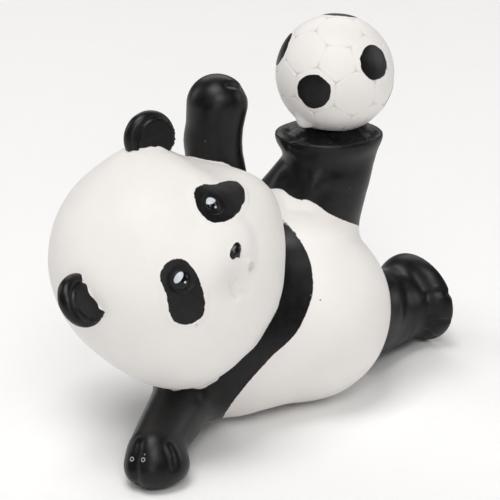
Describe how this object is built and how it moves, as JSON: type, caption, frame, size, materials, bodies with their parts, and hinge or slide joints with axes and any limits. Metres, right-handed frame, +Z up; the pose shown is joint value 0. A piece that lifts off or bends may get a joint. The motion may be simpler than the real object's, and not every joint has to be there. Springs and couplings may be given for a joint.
{
  "type": "animal figurine",
  "caption": "Panda figurine lying on its side, propped on one hand, one leg raised with a football balanced on the sole.",
  "frame": {"origin": "on the ground, under the middle of the figurine's bounding box", "axes": "+Z up; +X from the head to the outstretched foot; -Y the side the belly and the face turn to"},
  "size_m": [0.1134, 0.0486, 0.0877],
  "materials": {
    "painted_resin": "satin white and black paint on cast resin"
  },
  "bodies": {
    "root": {"panda_figurine": "painted_resin"}
  },
  "joints": []
}
